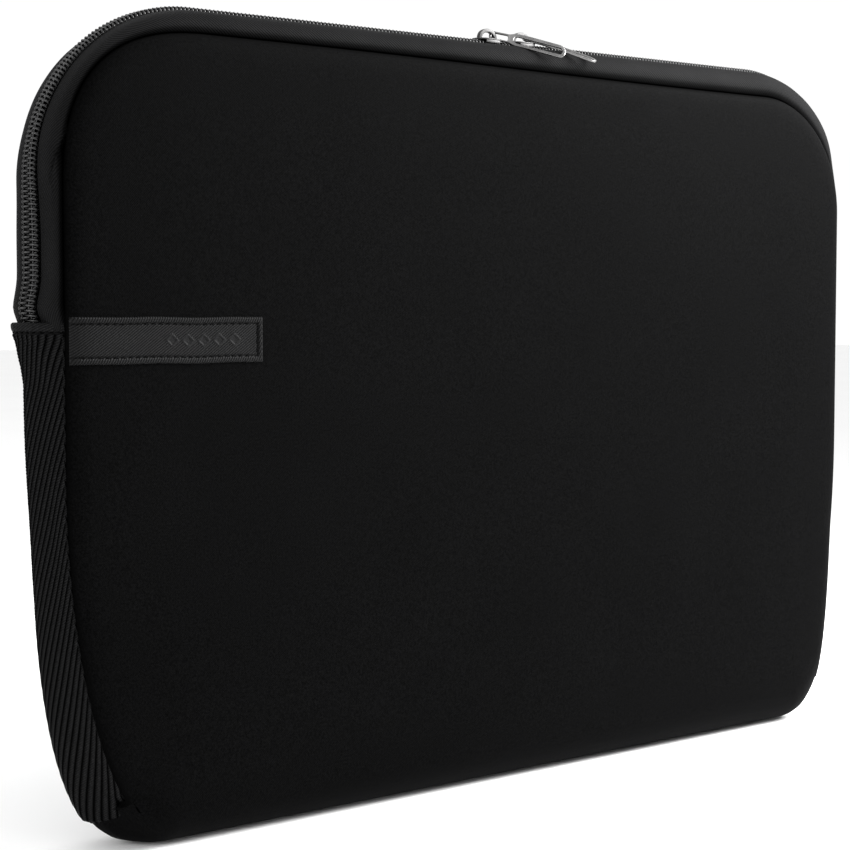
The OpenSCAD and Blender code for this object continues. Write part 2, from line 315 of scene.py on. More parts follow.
def label_material(name, level):
    """Ribbed tape. 'rise' is the height of its folds, and the colour is darker where 'rise' is
    low: painted shade down the stitch groove.
    'border' is 1 on the folded edges, whose ribs are coarser and steeper, and 'blank' is 1 where
    it has no ribs."""
    n = Nodes(name)
    uv = n.node("SeparateXYZ", {"Vector": n.uv()})
    where = n.place()
    rise = n.value("rise")
    border = n.value("border")
    wobble = n.times(n.noise(where, 400, 2), 1.6)

    def cord(pitch, degrees):
        angle = math.radians(degrees)
        x = n.times(uv.outputs[0], math.sin(angle) * 2 * math.pi / pitch)
        y = n.times(uv.outputs[1], math.cos(angle) * 2 * math.pi / pitch)
        return n.math("SINE", n.plus(n.math("SUBTRACT", x, y), wobble))

    inner = cord(0.73, 35)
    edge = cord(0.8, 62)
    blank = n.value("blank")
    inner = n.times(inner, n.math("SUBTRACT", 1.0, blank))
    weave = n.plus(n.times(inner, n.math("SUBTRACT", 1.0, border)), n.times(edge, border))
    fuzz = n.noise(where, 1400, 3)
    shade = n.times(n.ramp(weave, -1, 1, 0.3, 1.6), n.spread(fuzz, 0.8, 1.2))
    shade = n.times(shade, n.ramp(rise, 0, 1.1, 0.1, 1.0))
    return n.set(
        Base_Color=n.grey(n.times(shade, level)),
        Roughness=0.5,
        Specular_IOR_Level=0.05,
        Sheen_Weight=0.02,
        Sheen_Roughness=0.4,
        Normal=n.bump(n.plus(weave, fuzz), 0.7, 0.00016),
    )


def plush_material(name, level):
    """Short soft pile that lies in broad patches."""
    n = Nodes(name)
    where = n.place()
    pile = n.noise(where, 900, 5, 0.7)
    lay = n.noise(where, 40, 2)
    shade = n.times(n.spread(pile, 0.6, 1.4), n.spread(lay, 0.8, 1.2))
    return n.set(
        Base_Color=n.grey(n.times(shade, level)),
        Roughness=0.95,
        Specular_IOR_Level=0.2,
        Sheen_Weight=0.25,
        Sheen_Roughness=0.5,
        Normal=n.bump(pile, 0.8, 0.0004),
    )


def nylon_material(name, level):
    """Smooth nylon of the zip's coils."""
    n = Nodes(name)
    where = n.place()
    wear = n.noise(where, 260, 3)
    return n.set(
        Base_Color=n.grey(n.spread(wear, level * 0.8, level * 1.25)),
        Roughness=n.spread(wear, 0.26, 0.4),
        Specular_IOR_Level=0.45,
        Normal=n.bump(n.noise(where, 2500, 2), 0.15, 0.00003),
    )


def metal_material(name, level, rough):
    """Cast nickel-plated metal with fine grain and duller, worn patches."""
    n = Nodes(name)
    where = n.place()
    grain = n.noise(where, 1800, 4)
    wear = n.noise(where, 220, 3)
    return n.set(
        Base_Color=n.grey(n.spread(wear, level * 0.86, level * 1.08), (1.0, 0.99, 0.985)),
        Metallic=1.0,
        Roughness=n.spread(wear, rough * 0.75, rough * 1.3),
        Normal=n.bump(grain, 0.12, 0.00004),
    )


# The sleeve is black: its cloths give back well under one part in a hundred.
neoprene = knit_material("neoprene_jersey", 0.0016, 0.62, 0.014)
facing_cloth = twill_material("facing_twill", 0.0052, 0.6, 0.012, pitch=0.8, depth=0.9, seam=True)
tape_cloth = twill_material("zip_tape_weave", 0.002, 0.7, 0.01, pitch=0.9)
webbing = cord_material("herringbone_webbing", 0.0068, 0.6, 0.01, yarn=0.75)
label_cloth = label_material("label_weave", 0.0085)
thread = twill_material("sewing_thread", 0.003, 0.55, 0.01, pitch=0.3)
plush = plush_material("plush_lining", 0.012)
nylon = nylon_material("coil_nylon", 0.005)
nickel = metal_material("nickel_plate", 0.19, 0.27)
dark_nickel = metal_material("worn_nickel", 0.045, 0.4)


# ---- outline
def corner_stations(cx, cz, rx, rz, first, count, top):
    """Stations round a quarter of an ellipse, without the last one."""
    rows = []
    for a in np.radians(np.linspace(first, first + 90, count)[:-1]):
        c, s = math.cos(a), math.sin(a)
        rows.append((cx + rx * c, cz + rz * s, c, s, top))
    return rows


def mirrored(half):
    """The left half of an outline, from just past the top middle."""
    left = half[::-1][1:].copy()
    left[:, [0, 2]] *= -1
    return left


def half_stations():
    """Right half of the widest outline, bottom middle to top middle. Each row is
    x, z, how far x and z move for each millimetre of inset, and 1 where the top
    inset applies in place of the bottom one."""
    rows = [(x, 0, 0, -1, 0) for x in np.linspace(0, LOW_CX, 31)[:-1]]
    rows += corner_stations(LOW_CX, LOW_Z, LOW_X, LOW_Z, -90, 121, 0)
    rows += [(HALF_W, z, 1, 0, 1) for z in np.linspace(LOW_Z, TOP_CZ, 37)[:-1]]
    rows += corner_stations(TOP_CX, TOP_CZ, TOP_R, TOP_R, 0, 49, 1)
    rows += [(x, TOP_Z, 0, 1, 1) for x in np.linspace(TOP_CX, 0, 35)]
    return np.array(rows, float)


def loop_stations():
    """The whole outline, right half first."""
    half = half_stations()
    return np.vstack([half, mirrored(half)[:-1]])


def zip_stations():
    """From inside the right hem, over the top, to inside the left hem."""
    rows = [(HALF_W, z, 1, 0, 1) for z in np.linspace(HEM_Z - 2.2, TOP_CZ, 27)[:-1]]
    rows += corner_stations(TOP_CX, TOP_CZ, TOP_R, TOP_R, 0, 61, 1)
    rows += [(x, TOP_Z, 0, 1, 1) for x in np.linspace(TOP_CX, 0, 71)]
    right = np.array(rows, float)
    return np.vstack([right, mirrored(right)])


def side_edge(x):
    """How far the panel's seam lies in from the sides; the right one is wider."""
    return 9.35 + 2.95 * np.tanh(x / 60)


def squareness(st):
    """The seam cuts less into the left top corner than the zip's own curve would."""
    bend = st[:, 2] * st[:, 3]
    return 3.2 * 4 * bend**2 * (st[:, 0] < 0) * (st[:, 4] > 0)


def crown_edge(x):
    """How far the panel's seam lies down from the top."""
    return 10.8 + 1.2 * np.tanh(x / 80)


def fullness(x, y, z):
    """How far the real sleeve swells out past the plain outline at its lower
    corners. The seam on the left of the front is the one place it doesn't."""
    share = smooth((np.abs(x) - 112) / 50) * np.clip(1 - z / 82, 0, 1) ** 1.4
    left = smooth((y + 11.0) / 17)
    return np.sign(x) * share * np.where(x < 0, 9.4 * left, 10.5)


def side_shift(x, y, z):
    """How far a gusset stands out from the plain outline: flared under the hem
    and drawn in lower down. Its seams stay on the panels."""
    swell = 3.1 * smooth((z - 147) / 20) - 1.3 * np.exp(-(((z - 103) / 22) ** 2))
    right = 0.5 * swell - 1.9 * smooth((z - 105) / 25) * (1 - smooth((z - 158) / 8))
    held = smooth((y + 12) / 9) * (1 - 0.7 * smooth((y - 8) / 4))
    return np.sign(x) * np.where(x < 0, swell, right) * held


def bow(y):
    """Section of a gusset: its middle stands furthest out a little behind the zip."""
    return np.where(y < 4, np.abs((y - 4) / 15.9) ** 1.35, np.abs((y - 4) / 7.9) ** 2)


def arc_length(st):
    """Distance along the stations."""
    d = np.hypot(np.diff(st[:, 0]), np.diff(st[:, 1]))
    return np.concatenate([[0], np.cumsum(d)])


# ---- panels
# Section of a panel from its seam inwards: inset from the seam, and depth.
SEAM_OUT = [(1.5, 10.0), (0.5, 10.5), (0.0, 11.4), (0.1, 12.4), (0.6, 13.4), (1.5, 14.2),
            (2.9, 14.85), (3.9, 15.1), (5.0, 15.35), (6.4, 15.55), (8.0, 15.7), (12.0, 15.95),
            (18.0, 16.15), (26.0, 16.3), (33.0, 16.4)]
SEAM_IN = [(3.0, 10.4), (5.5, 11.5), (9.0, 12.1), (16.0, 12.5), (26.0, 12.7), (33.0, 12.8)]
# The same where the panel turns under the sleeve: height, and depth.
FOOT_OUT = [(0.0, 0.0), (0.1, 3.2), (0.7, 6.0), (1.8, 8.6), (3.2, 10.7), (5.0, 12.4),
            (7.0, 13.7), (8.5, 14.3), (10.0, 14.75), (11.8, 15.1), (13.6, 15.4), (16.5, 15.7),
            (20.5, 16.0), (27.0, 16.3), (33.5, 16.4)]
FOOT_IN = [(3.6, 0.0), (3.8, 5.0), (5.6, 9.4), (10.0, 11.8), (19.0, 12.6), (33.0, 12.8)]
# How far each ring in the middle of a panel lies towards the panel's centre line.
CENTRE = np.concatenate([[0.035, 0.075], np.linspace(0.12, 0.93, 24)])


def panel_ring(st, seam, foot, mix):
    """One ring of a panel: x, z and depth at each station."""
    edge = side_edge(st[:, 0]) - squareness(st)
    crown = crown_edge(st[:, 0]) - squareness(st)
    wide = smooth((24 - st[:, 1]) / 19) * (st[:, 4] == 0)
    mix = mix + (wide - mix) * smooth((foot[0] - 1.5) / 7)
    mix = mix * (1 - smooth((foot[0] - 6) / 16))
    side = (edge + seam[0]) * (1 - mix) + (foot[0] + 5) * mix
    base = (2.4 + seam[0]) * (1 - mix) + foot[0] * mix
    up = np.where(st[:, 4] > 0, crown + seam[0], base)
    x = st[:, 0] - st[:, 2] * side
    z = st[:, 1] - st[:, 3] * up
    depth = seam[1] * (1 - mix) + foot[1] * mix
    return np.column_stack([x, z, depth * np.ones(len(st))])


def centre_rings(ring):
    """Rings that carry on from a panel's inner ring to a thin ellipse in its middle."""
    rings = []
    for u in CENTRE:
        x = ring[:, 0] * (1 - 0.5 * u)
        z = 134 + (ring[:, 1] - 134) * (1 - 0.97 * u)
        rings.append(np.column_stack([x, z, ring[:, 2] + 0.1 * smooth(u)]))
    return rings


def undulation(x, z, seed):
    """Slow waves of a padded panel, in millimetres."""
    out = np.zeros(len(x))
    for i in range(len(x)):
        p = Vector((x[i] / 85, seed, z[i] / 75))
        q = Vector((x[i] / 30, seed + 5, z[i] / 26))
        out[i] = 0.45 * noise.noise(p) + 0.13 * noise.noise(q)
    return out


def add_panel(name, side, outer, foot_outer, inner, foot_inner, wavy):
    """A crowned padded sheet as a closed shell. side is -1 in front and 1 behind."""
    st = loop_stations()
    mix = smooth((14.6 - st[:, 1]) / 1.8) * (st[:, 4] == 0)
    face = [panel_ring(st, a, b, mix) for a, b in zip(outer, foot_outer)]
    back = [panel_ring(st, a, b, mix) for a, b in zip(inner, foot_inner)]
    rings = centre_rings(face[-1])[::-1] + face[::-1] + back + centre_rings(back[-1])
    n = len(st)
    k = len(rings)
    grid = np.array(rings)
    if wavy:
        shift = undulation(grid[:, :, 0].ravel(), grid[:, :, 1].ravel(), 3.0 + side)
        shift = shift.reshape(k, n)
        fade = smooth((grid[:, :, 2] - 14.0) / 1.8) * smooth((grid[:, :, 1] - 3) / 14)
        grid[:, :, 2] += shift * fade
    y = side * grid[:, :, 2]
    grid[:, :, 0] += fullness(grid[:, :, 0], y, grid[:, :, 1])
    points = np.stack([grid[:, :, 0], y, grid[:, :, 1]], axis=-1)
    faces = []
    for r in range(k - 1):
        for j in range(n):
            j2 = (j + 1) % n
            faces.append((r * n + j, r * n + j2, (r + 1) * n + j2, (r + 1) * n + j))
    faces.append(tuple(reversed(range(n))))
    faces.append(tuple((k - 1) * n + j for j in range(n)))
    # Painted shade: 'lit' darkens the cloth's colour and takes away its sheen down in the seam,
    # and in the crease where the panel turns under at its foot.
    lit = np.ones((k, n))
    first = len(CENTRE)
    for r, (inset, _) in enumerate(outer[::-1]):
        dark = 1 - smooth(np.array((inset - 0.2) / 0.8))
        tuck = 4 * mix * (1 - mix) * (1 - smooth(np.array((inset - 1.5) / 3)))
        lit[first + r] = (1 - dark * (1 - mix)) * (1 - tuck)
    return add_mesh(name, points, faces, values={"lit": lit.ravel()}, sharp=50)


def thinner(section, inset, depth):
    """A section moved further in and back."""
    return [(a + inset, b - depth) for a, b in section]


front_panel = add_panel("front_panel", -1, SEAM_OUT, FOOT_OUT, SEAM_IN, FOOT_IN, True)
back_panel = add_panel("back_panel", 1, SEAM_OUT, FOOT_OUT, SEAM_IN, FOOT_IN, True)
finish_pair(front_panel, back_panel, neoprene, "flap_panel", "wrap_panel")

# The lining lies just inside the panel and is 1 mm thick.
LINING_OUT = thinner(SEAM_IN, 0.5, 0.15)
LINING_IN = thinner(SEAM_IN, 1.6, 1.1)
LINING_FOOT_OUT = [(4.0, 0.0), (4.2, 4.8), (6.0, 9.1), (10.3, 11.6), (19.3, 12.45), (33.5, 12.65)]
LINING_FOOT_IN = [(5.0, 0.0), (5.2, 4.3), (7.0, 8.3), (11.2, 10.6), (20.2, 11.45), (34.6, 11.7)]
front_lining = add_panel(
    "front_lining", -1, LINING_OUT, LINING_FOOT_OUT, LINING_IN, LINING_FOOT_IN, False)
back_lining = add_panel(
    "back_lining", 1, LINING_OUT, LINING_FOOT_OUT, LINING_IN, LINING_FOOT_IN, False)
finish_pair(front_lining, back_lining, plush, "flap_lining", "wrap_lining")


# ---- zip and facing
ZIP = zip_stations()
ZIP_LENGTH = arc_length(ZIP)
ON_LEFT = ZIP[:, 0] < 0
ON_RIGHT = ZIP[:, 0] > 0


def zip_below(z, over):
    """At each station: 0 above a height, 1 once the zip is a distance under it."""
    return smooth((z - ZIP[:, 1]) / over)


# Near each end the zip dives into the hem.
TUCK = 2.6 * zip_below(174, 8) * (np.abs(ZIP[:, 2]) > 0.999)
# On the left the zip leans to the front, and its lower end flares with the hem.
# On the right it is drawn in, and lies pressed against the panels.
LEAN = 0.33 * ON_LEFT * zip_below(232, 40)
DRAWN = 2.9 * ON_RIGHT * zip_below(252, 30)
DRAWN = DRAWN + ON_LEFT * (0.6 * zip_below(232, 40) - 2.2 * zip_below(183, 14))
PRESSED = 0.9 * ON_RIGHT * zip_below(255, 25)


def zip_sweep(name, section, side, extra=None, shade=None):
    """A closed section along the zip. A section point is a share of the way from the
    zip to the seam, an inset in millimetres and a depth in front of the middle or behind
    it. extra gives a further inset, and shade darkens the piece."""
    edge = side_edge(ZIP[:, 0]) - squareness(ZIP)
    crown = crown_edge(ZIP[:, 0]) - squareness(ZIP)
    n = len(ZIP)
    k = len(section)
    points = np.zeros((n, k, 3))
    uv = np.zeros((n, k, 2))
    width = 0.0
    for i, (share, inset, y) in enumerate(section):
        near = 1 - min(share * 1.6, 1.0)
        lean = DRAWN * (1 - share) - LEAN * float(np.clip(side * y, -4, 4)) * near
        s = share * (edge - 8.2) + inset + TUCK * (1 - 0.55 * share) + lean
        u = share * (crown - 8.2) + inset + TUCK * (1 - 0.55 * share)
        if extra is not None:
            push = extra(ZIP_LENGTH, i / (k - 1))
            s = s + push + puff_of(share) * PRESSED
            u = u + push
        points[:, i, 0] = ZIP[:, 0] - ZIP[:, 2] * s
        points[:, i, 1] = side * y
        points[:, i, 2] = ZIP[:, 1] - ZIP[:, 3] * u
        if i:
            width += math.hypot(inset - section[i - 1][1], y - section[i - 1][2])
        uv[:, i, 0] = width
        uv[:, i, 1] = ZIP_LENGTH
    # Painted shade: 'lit' falls to 0 where the section runs down into the seam, and shade adds the
    # pleat's shadow. The facing's cloth reads it.
    lit = np.array([1 - smooth(np.array((share - 0.62) / 0.33)) for share, _, _ in section])
    lit = np.tile(lit, (n, 1))
    if shade is not None:
        for i in range(k):
            lit[:, i] *= shade(ZIP_LENGTH, i / (k - 1))
    return add_mesh(name, points, sweep_faces(n, k), uv.reshape(-1, 2), {"lit": lit.ravel()}, 45)


def puff_of(share):
    """How far the puffed strip comes in where it is pressed flat."""
    return 2.8 * math.sin(math.pi * min(share ** 0.6, 1.0))


def facing_section():
    """The puffed strip between the zip and the seam, with its turned-in edge."""
    # Its face is a curve from a to c that is drawn out towards b: inset, and depth.
    a, b, c = (1.55, 3.65), (1.0, 11.2), (7.8, 12.1)
    outer = []
    for t in np.linspace(0, 1, 13):
        p, q, r = (1 - t) ** 2, 2 * t * (1 - t), t * t
        outer.append((r, p * a[0] + q * b[0] + r * c[0], p * a[1] + q * b[1] + r * c[1]))
    tail = [(1.0, 8.15, 11.5), (1.0, 8.3, 10.7)]
    inner = [(1.0, 8.1, 9.9), (0.6, 6.0, 9.0), (0.3, 4.2, 7.4), (0.0, 3.1, 5.4), (0.0, 2.6, 3.9)]
    head = [(0.0, 2.1, 3.55)]
    return outer + tail + inner + head


def pleat_at(length, t, shift, width):
    """The fold that runs slantwise down the left of the front strip."""
    away = length[-1] - length - (23 + 66 * t) + shift
    there = float(smooth(np.array((t - 0.32) / 0.08))) * (t < 0.61)
    return np.exp(-(away / width) ** 2) * there


def pleat_shade(length, t):
    """How much light is left down in the pleat."""
    return 1 - 0.85 * pleat_at(length, t, 0, 1.5)


def facing_waves(seed, pleat):
    """Small puckers along the strip, and on one side a soft pleat near the corner."""
    def push(length, t):
        free = math.sin(math.pi * min(t / 0.65, 1.0))
        out = np.array([
            0.22 * noise.noise(Vector((s / 14, seed, t * 2))) for s in length]) * free
        if pleat:
            out += 1.5 * pleat_at(length, t, 0, 1.7)
            out -= 0.9 * pleat_at(length, t, 5, 3.6)
        return out
    return push


facing = facing_section()
facing_front = zip_sweep("facing_front", facing, -1, facing_waves(1.0, True), pleat_shade)
facing_back = zip_sweep("facing_back", facing, 1, facing_waves(9.0, False))
finish_pair(facing_front, facing_back, facing_cloth, "strip_front", "strip_back")

# Section of a zip tape: under the coil, then out along the strip and back.
TAPE = [(0, 2.75, 0.3), (0, 2.7, 2.2), (0, 2.6, 3.4), (0, 2.75, 4.3), (0.2, 3.9, 6.2),
        (0.4, 4.9, 7.3), (0.4, 4.7, 7.9), (0.2, 3.5, 6.6), (0, 3.2, 4.3), (0, 3.15, 2.4),
        (0, 3.25, 0.3)]
tape_front = zip_sweep("zip_tape_front", TAPE, -1)
tape_back = zip_sweep("zip_tape_back", TAPE, 1)
finish_pair(tape_front, tape_back, tape_cloth, "tape_front", "tape_back")


def route_at(length, inset, y):
    """Points at given lengths along the zip, an inset inwards and a depth."""
    length = np.clip(length, 0, ZIP_LENGTH[-1])
    columns = (ZIP[:, 0], ZIP[:, 1], ZIP[:, 2], ZIP[:, 3], TUCK, LEAN, DRAWN)
    x, z, kx, kz, tuck, lean, drawn = [np.interp(length, ZIP_LENGTH, v) for v in columns]
    aside = drawn - lean * y
    return np.column_stack([x - kx * (inset + tuck + aside), y, z - kz * (inset + tuck)])


def tube(path, radius, sides, across):
    """Rings of points round a path. across is a direction that the path never follows."""
    tangent = np.gradient(path, axis=0)
    tangent /= np.linalg.norm(tangent, axis=1)[:, None]
    normal = across - (across * tangent).sum(1)[:, None] * tangent
    normal /= np.linalg.norm(normal, axis=1)[:, None]
    binormal = np.cross(tangent, normal)
    angle = np.arange(sides) * 2 * math.pi / sides
    ring = (np.cos(angle)[None, :, None] * normal[:, None, :]
            + np.sin(angle)[None, :, None] * binormal[:, None, :])
    size = np.asarray(radius, float).reshape(-1, 1, 1)
    return path[:, None, :] + ring * size


# A number 5 coil, with its middle line this far in from the zip's outline.
COIL_PITCH = 1.55
COIL_INSET = 1.25
COIL_STEPS = 12


def add_coil(name, side, phase):
    """One half of the zip's nylon coil, as a real flattened helix."""
    turns = (ZIP_LENGTH[-1] - 1.2) / COIL_PITCH
    turn = np.arange(0, turns, 1 / COIL_STEPS)
    a = 2 * math.pi * turn + phase
    length = 0.75 + (turn + 0.12 * np.cos(a)) * COIL_PITCH
    y = side * (1.42 - 1.3 * np.cos(a) * (1 + 0.12 * np.sin(a) ** 2))
    path = route_at(length, COIL_INSET - 0.84 * np.sin(a), y)
    ahead = route_at(length + 0.2, COIL_INSET, np.zeros(len(y)))
    behind = route_at(length - 0.2, COIL_INSET, np.zeros(len(y)))
    sides = 6
    rings = tube(path, 0.41, sides, ahead - behind)
    return add_mesh(name, rings, sweep_faces(len(path), sides))


coil_front = add_coil("zip_coil_front", -1, 0.0)
coil_back = add_coil("zip_coil_back", 1, math.pi)
finish_pair(coil_front, coil_back, nylon, "coil_front", "coil_back")


def add_coil_thread(name, side):
    """The lock-stitch that holds the coil to its tape, as a low row of knots."""
    length = np.arange(1.0, ZIP_LENGTH[-1] - 1.0, 0.26)
    wave = np.sin(2 * math.pi * length / COIL_PITCH)
    path = route_at(length, 0.35 - 0.22 * wave, side * (1.9 + 0.12 * wave))
    sides = 5
    rings = tube(path, 0.2 + 0.04 * wave, sides, np.tile([0.0, 1.0, 0.0], (len(path), 1)))
    return add_mesh(name, rings, sweep_faces(len(path), sides))


thread_front = add_coil_thread("coil_thread_front", -1)
thread_back = add_coil_thread("coil_thread_back", 1)
finish_pair(thread_front, thread_back, nylon)


# ---- gussets
# Half the webbing's width, and from how far out its ribs lean the other way.
GUSSET_Y = 11.9
BORDER = 11.4
RIB_PITCH = 1.95
RIB_LEAN = math.radians(20)
# The row of stitches in the folded hem.
STITCH_Z = HEM_Z - 3.1


def ribs(y, z):
    """Height of the webbing's herringbone, 0 in the grooves to 1 on the ribs."""
    lean = np.where(np.abs(y) < BORDER, 1.0, -1.0)
    p = (y * math.cos(RIB_LEAN) + lean * z * math.sin(RIB_LEAN)) / RIB_PITCH
    p = p + np.where(lean < 0, 0.37, 0)
    f = p - np.floor(p)
    return 1 - np.abs(2 * f - 1) ** 1.7


def seam_edge(sign):
    """How far in the panel's seam lies on one side."""
    return float(side_edge(np.array([sign * 192.0]))[0])


def hem_swell(z):
    """0 below the hem, 1 near its top, where the webbing is doubled."""
    return smooth((z - (HEM_Z - 6.5)) / 5.5)


def gusset_inset(edge, bulge, hem):
    """How far a gusset's face lies in from the outline."""
    return 2.2 + (edge - 1.9) * bulge - 1.5 * hem * (1 - 0.35 * bulge)


def gusset_path():
    """Even steps from the foot up to the hem's rounded lip: x, z, how far they move for
    each millimetre of inset, the distance from the foot, and how far the lip rolls in."""
    a = np.radians(np.linspace(-69.5, 0, 420))
    c, s = np.cos(a), np.sin(a)
    curve = np.column_stack([LOW_CX + LOW_X * c, LOW_Z + LOW_Z * s, c, s])
    top = HEM_Z - 0.9
    rows = np.vstack([curve, [(HALF_W, z, 1, 0) for z in np.linspace(LOW_Z, top, 141)[1:]]])
    length = arc_length(rows)
    even = np.arange(0, length[-1], 0.42)
    rows = np.column_stack([np.interp(even, length, column) for column in rows.T])
    lip = np.array([0.35, 0.62, 0.82, 0.9])
    rows = np.vstack([rows, [(HALF_W, top + rise, 1, 0) for rise in lip]])
    roll = np.concatenate([np.zeros(len(even)), [0.08, 0.28, 0.6, 0.95]])
    even = np.concatenate([even, even[-1] + lip])
    return (*rows.T, even, roll)


def add_gusset(name, sign):
    """A side's webbing, ribbed outside and plain inside. sign is -1 on the left."""
    x0, z0, kx, kz, even, roll = gusset_path()
    y = np.linspace(-GUSSET_Y, GUSSET_Y, 61)
    inside = np.linspace(GUSSET_Y, -GUSSET_Y, 17)
    edge = seam_edge(sign)
    hem = hem_swell(z0)
    below = 1 - smooth((z0 - (HEM_Z - 4.2)) / 1.2)
    stitch = np.exp(-((z0 - STITCH_Z) / 0.45) ** 2)
    n = len(even)
    k = len(y) + len(inside)
    points = np.zeros((n, k, 3))
    uv = np.zeros((n, k, 2))
    rise = np.ones((n, k))
    foot = smooth((3.5 - even) / 3.5)
    for i, yy in enumerate(np.concatenate([y, inside])):
        bulge = float(bow(np.array(yy)))
        inset = gusset_inset(edge, bulge, hem) + 1.3 * foot
        up = inset - 3.2
        # Low down in front the webbing is drawn in under the panel's corner.
        corner = smooth((11.5 - even) / 4) * float(smooth(np.array((-yy - 6.3) / 2.2)))
        inset = inset + 3.4 * corner
        if i < len(y):
            h = ribs(np.full(n, yy), even)
            strength = 0.5 * below + 0.09
            fade = 1 - smooth((abs(yy) - (GUSSET_Y - 0.5)) / 0.5)
            inset = inset + (strength * (h * fade - 1) + 0.35 * stitch + roll)
            # Painted shade: 'rise' is low down in the grooves between the ribs, along the hem's
            # row of stitches, and where the webbing is drawn in under the panel's corner.
            rise[:, i] = np.where(below > 0.5, h, 0.8 + 0.2 * h) * (1 - 0.75 * stitch)
            rise[:, i] *= 1 - 0.9 * corner
        else:
            inset = inset + 1.5 + 0.5 * hem - roll * 0.6
        x = x0 - kx * inset
        z = z0 - kz * up
        x = x + sign * (fullness(sign * x, yy, z) + side_shift(sign, np.full(n, yy), z))
        points[:, i] = np.column_stack([sign * x, np.full(n, yy), z])
        uv[:, i, 0] = yy
        uv[:, i, 1] = even
    return add_mesh(name, points, sweep_faces(n, k), uv.reshape(-1, 2), {"rise": rise.ravel()}, 70)


gusset_left = add_gusset("webbing_left", -1)
finish_piece(gusset_left, webbing, "sleeve", "gusset_left")
gusset_right = add_gusset("webbing_right", 1)
finish_piece(gusset_right, webbing, "sleeve", "gusset_right")


def add_stitches(name, starts, ends, radius, lift):
    """Short sewn stitches, each a rounded bar that dips in at both ends."""
    points, faces = [], []
    sides, steps = 6, 7
    for a, b in zip(starts, ends):
        a, b = np.array(a, float), np.array(b, float)
        t = np.linspace(0, 1, steps)[:, None]
        path = a + (b - a) * t + np.array(lift) * np.sin(math.pi * t)
        size = radius * np.sqrt(np.clip(1 - (2 * t[:, 0] - 1) ** 4, 0.06, 1))
        across = np.tile(np.cross(b - a, lift), (steps, 1))
        ring = tube(path, size, sides, across)
        base = len(points)
        points.extend(ring.reshape(-1, 3))
        faces.extend([tuple(base + i for i in f) for f in sweep_faces(steps, sides)])
    return add_mesh(name, points, faces)


def add_hem_stitches(name, sign):
    """The row of stitches across a gusset's hem."""
    edge = seam_edge(sign)
    hem = float(hem_swell(np.array(STITCH_Z)))
    starts, ends = [], []
    for y in np.arange(-10.4, 9.5, 2.3):
        for group, yy in ((starts, y), (ends, y + 1.55)):
            inset = gusset_inset(edge, float(bow(np.array(yy))), hem)
            out = float(side_shift(sign, np.array(yy), np.array(STITCH_Z)))
            x = sign * (HALF_W - inset - 0.4) + out
            group.append((x, yy, STITCH_Z + 0.05 * math.sin(yy * 3)))
    return add_stitches(name, starts, ends, 0.24, (sign * 0.25, 0, 0))


for side, sign in (("left", -1), ("right", 1)):
    sewn = add_hem_stitches(f"hem_thread_{side}", sign)
    finish_piece(sewn, thread, "sleeve", f"hem_stitch_{side}")


# ---- label
# Its left end is tucked into the side seam.
LABEL_LEFT = -184.9
LABEL_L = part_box("label")[1].x / MM - LABEL_LEFT
LABEL_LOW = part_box("label")[0].z / MM
LABEL_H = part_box("label")[1].z / MM - LABEL_LOW
# How far in from its edge the stitches lie, how long they are, and one to the next.
LABEL_SEAM, LABEL_STITCH, LABEL_STEP = 2.15, 1.9, 2.7


def face_depth(x):
    """Depth of the front panel's face at an x near the left side, at mid height."""
    e = x + HALF_W - side_edge(np.array([x]))[0]
    insets = [a for a, _ in SEAM_OUT[2:]]
    depths = [b for _, b in SEAM_OUT[2:]]
    return float(np.interp(e, insets, depths))


def label_waver(s):
    """How far the label's edges wander up and down."""
    return 0.12 * np.sin(s / 11) + 0.1 * np.sin(s / 4.3 + 1)


def diamonds(s, t):
    """For each of five diamonds, the distance from its middle, 1 at its edge."""
    for i in range(5):
        middle = LABEL_L * (0.5 + 0.085 * i)
        yield np.abs(s - middle) / 2.4 + np.abs(t - LABEL_H / 2) / 2.1


def ornament(s, t):
    """Height of a row of plain diamonds in the right half of the label."""
    h = np.zeros_like(s)
    for d in diamonds(s, t):
        line = np.exp(-((d - 0.85) / 0.14) ** 2)
        inside = 1 - smooth((d - 0.75) / 0.1)
        h = h + 0.24 * line - 0.05 * inside
    return h


def ornament_area(s, t):
    """1 on the diamonds, where the tape shows no ribs."""
    far = np.ones_like(s)
    for d in diamonds(s, t):
        far = far * smooth((d - 1.0) / 0.25)
    return 1 - far


